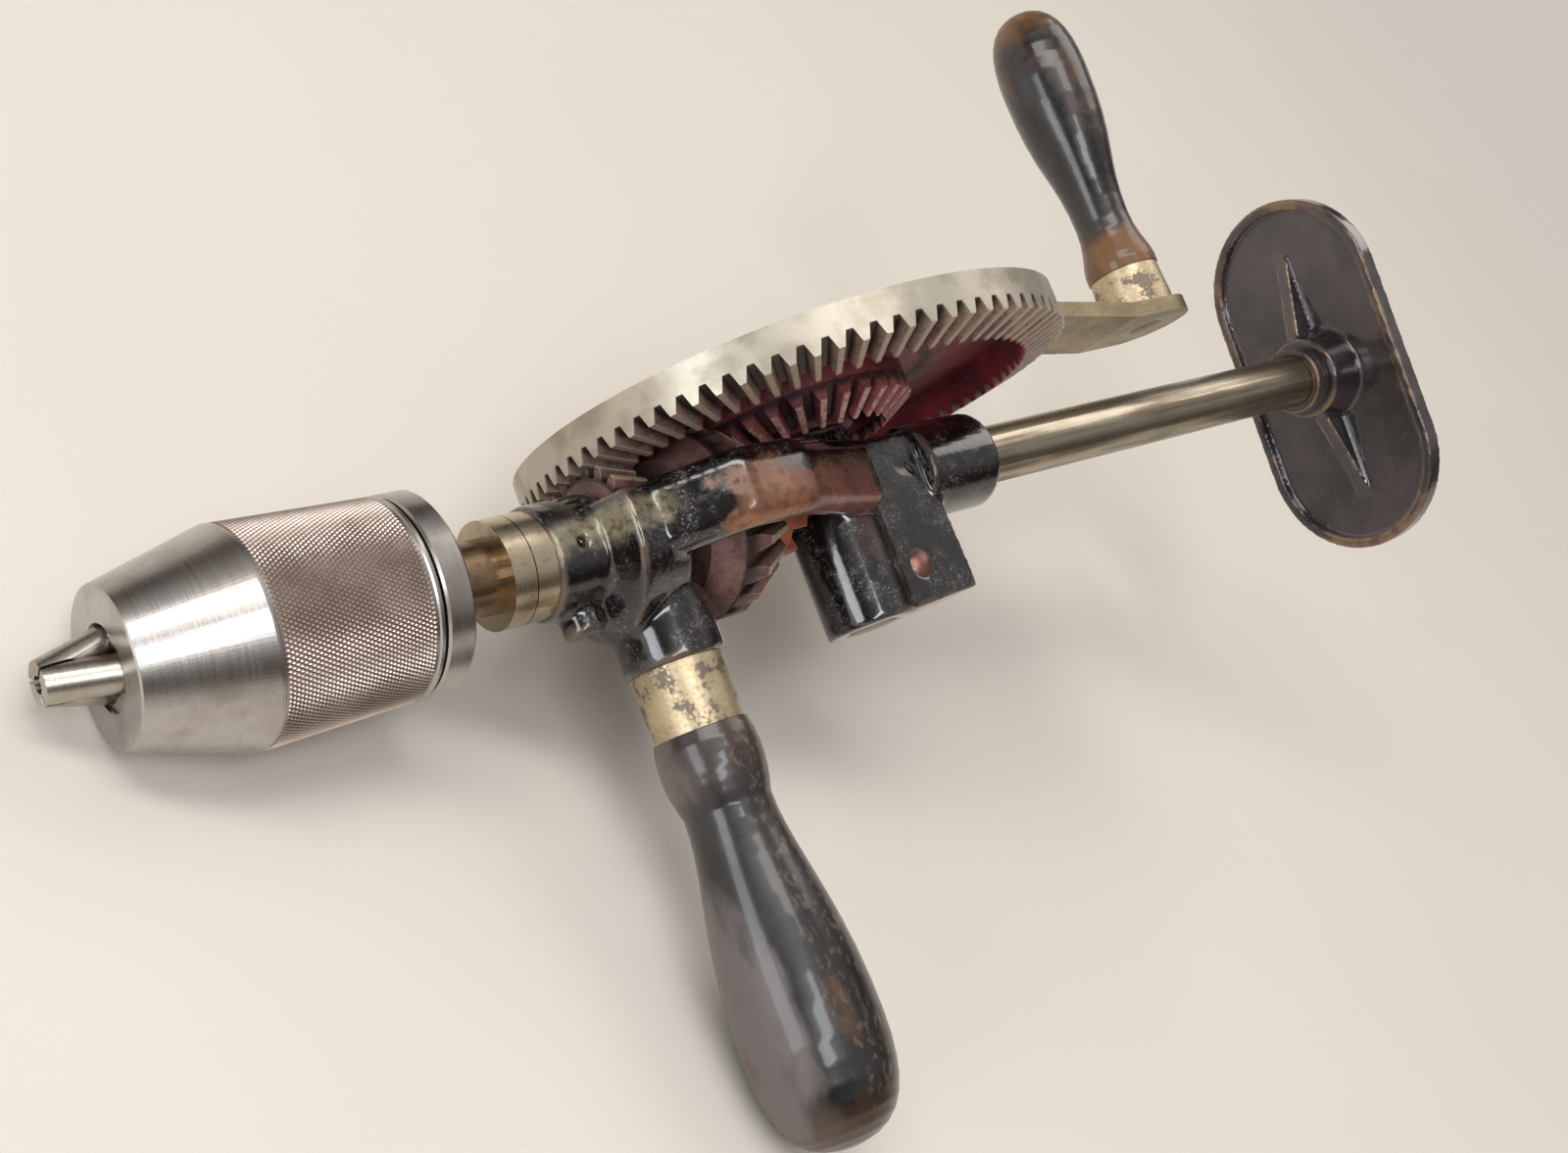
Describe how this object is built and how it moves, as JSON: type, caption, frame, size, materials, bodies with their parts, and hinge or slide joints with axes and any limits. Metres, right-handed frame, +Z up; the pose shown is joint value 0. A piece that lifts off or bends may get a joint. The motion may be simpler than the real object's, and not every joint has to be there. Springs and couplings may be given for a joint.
{
  "type": "breast drill",
  "caption": "Hand-cranked breast drill: bevel gear wheel and crank on a cast yoke frame, round-jaw chuck, wooden side handle, and a tube carrying a long breast plate.",
  "frame": {"origin": "floor level under the middle of the drill, lying on its side as pictured", "axes": "+X from the chuck to the breast plate, +Y to the crank side, +Z up from the floor"},
  "size_m": [0.4476, 0.2862, 0.1725],
  "materials": {
    "japanned_iron": "black japan, chipped and speckled",
    "maroon_iron": "dark red paint, worn on the teeth",
    "satin_steel": "satin, lightly stained",
    "tarnished_nickel": "nickel, tarnished golden brown",
    "ferrule_brass": "dull brass with grey worn patches",
    "black_wood": "black painted hardwood, worn to brown"
  },
  "bodies": {
    "frame": {"frame_casting": "japanned_iron", "front_bush": "tarnished_nickel", "rear_bush": "ferrule_brass", "thrust_race": "tarnished_nickel", "thrust_balls": "satin_steel", "gear_stud": "satin_steel", "stud_washer": "satin_steel", "stud_nut": "satin_steel", "lug_pin": "satin_steel", "side_handle_stud": "satin_steel", "side_handle_ferrule": "ferrule_brass", "side_handle_grip": "black_wood", "breast_tube": "tarnished_nickel", "plate_collar": "japanned_iron", "breast_plate": "japanned_iron"},
    "crank_wheel": {"gear_wheel": "maroon_iron", "crank_arm": "satin_steel", "crank_rivets": "satin_steel", "crank_stud": "satin_steel"},
    "crank_handle": {"crank_ferrule": "ferrule_brass", "crank_grip": "black_wood"},
    "spindle": {"spindle": "tarnished_nickel", "low_pinion": "maroon_iron", "clutch_key": "satin_steel", "thrust_cup": "tarnished_nickel", "chuck_body": "satin_steel", "chuck_collar": "satin_steel"},
    "high_pinion": {"high_pinion": "maroon_iron"},
    "clutch": {"clutch_collar": "maroon_iron"},
    "sleeve": {"chuck_sleeve": "satin_steel", "chuck_nut": "satin_steel"},
    "jaw_1": {"jaw_1": "satin_steel"},
    "jaw_2": {"jaw_2": "satin_steel"},
    "jaw_3": {"jaw_3": "satin_steel"}
  },
  "joints": [
    {"name": "crank_turn", "type": "hinge", "parent": "frame", "child": "crank_wheel", "pos_m": [-0.01303, 0.01139, 0.07085], "axis": [-0.0683, 0.9652, 0.2523], "continuous": true},
    {"name": "grip_turn", "type": "hinge", "parent": "crank_wheel", "child": "crank_handle", "pos_m": [0.12399, 0.03586, 0.12138], "axis": [-0.0683, 0.9652, 0.2523], "continuous": true},
    {"name": "spindle_turn", "type": "hinge", "parent": "frame", "child": "spindle", "pos_m": [-0.01303, 0.01139, 0.07085], "axis": [0.9652, 0, 0.2615], "continuous": true},
    {"name": "high_pinion_turn", "type": "hinge", "parent": "frame", "child": "high_pinion", "pos_m": [-0.08059, 0.01139, 0.05254], "axis": [0.9652, 0, 0.2615], "continuous": true},
    {"name": "clutch_slide", "type": "slide", "parent": "spindle", "child": "clutch", "axis": [0.9652, 0, 0.2615], "range_m": [0, 0.004]},
    {"name": "sleeve_turn", "type": "hinge", "parent": "spindle", "child": "sleeve", "pos_m": [-0.17711, 0.01139, 0.02639], "axis": [0.9652, 0, 0.2615], "range_deg": [0, 1800]},
    {"name": "jaw_1_slide", "type": "slide", "parent": "spindle", "child": "jaw_1", "axis": [0.909, 0.2661, 0.3209], "range_m": [0, 0.01502]},
    {"name": "jaw_2_slide", "type": "slide", "parent": "spindle", "child": "jaw_2", "axis": [0.877, -0.1954, 0.439], "range_m": [0, 0.01502]},
    {"name": "jaw_3_slide", "type": "slide", "parent": "spindle", "child": "jaw_3", "axis": [0.9975, -0.0706, -0.0058], "range_m": [0, 0.01502]}
  ],
  "couplings": [
    {"joint": "spindle_turn", "follows": "crank_turn", "ratio": 1.6667},
    {"joint": "high_pinion_turn", "follows": "crank_turn", "ratio": 3.7143},
    {"joint": "jaw_1_slide", "follows": "sleeve_turn", "m_per_rad": 0.00047746},
    {"joint": "jaw_2_slide", "follows": "sleeve_turn", "m_per_rad": 0.00047746},
    {"joint": "jaw_3_slide", "follows": "sleeve_turn", "m_per_rad": 0.00047746}
  ]
}
